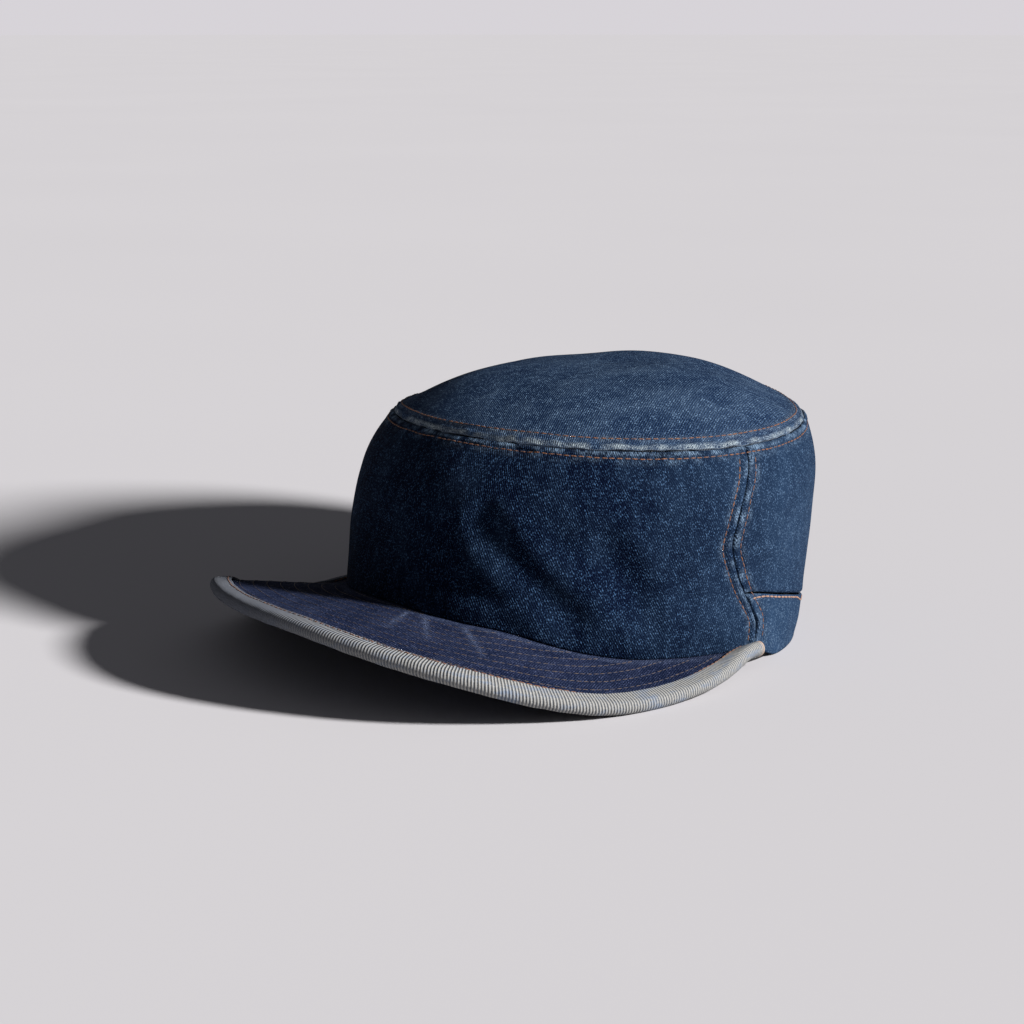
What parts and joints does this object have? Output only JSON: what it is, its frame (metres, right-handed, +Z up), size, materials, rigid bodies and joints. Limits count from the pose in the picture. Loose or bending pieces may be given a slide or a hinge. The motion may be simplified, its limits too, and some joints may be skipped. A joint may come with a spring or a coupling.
{
  "type": "work cap",
  "caption": "Cloth work cap with a round crown, a domed top, a shaped back band and a stiff curved brim edged with tape. It is hollow, and is worn on a head.",
  "frame": {"origin": "middle of the cap's outline, on the surface it rests on", "axes": "-Y to the wearer's front, where the brim points, +X to the wearer's left, +Z up"},
  "size_m": [0.2216, 0.257, 0.111],
  "materials": {
    "faded_denim": "washed indigo denim, faded and speckled",
    "wall_denim": "washed dark indigo denim with copper stitching",
    "brim_denim": "dark indigo denim over a stiff core, row stitched",
    "binding_tape": "pale ribbed denim reverse, rubbed and soiled with blue",
    "sweatband_cloth": "black matt cotton",
    "stitch_thread": "copper brown spun thread"
  },
  "bodies": {
    "root": {"crown_top": "faded_denim", "front_side_panel": "wall_denim", "back_panel": "wall_denim", "back_band": "wall_denim", "brim": "brim_denim", "brim_binding": "binding_tape", "sweatband": "sweatband_cloth"}
  },
  "joints": []
}
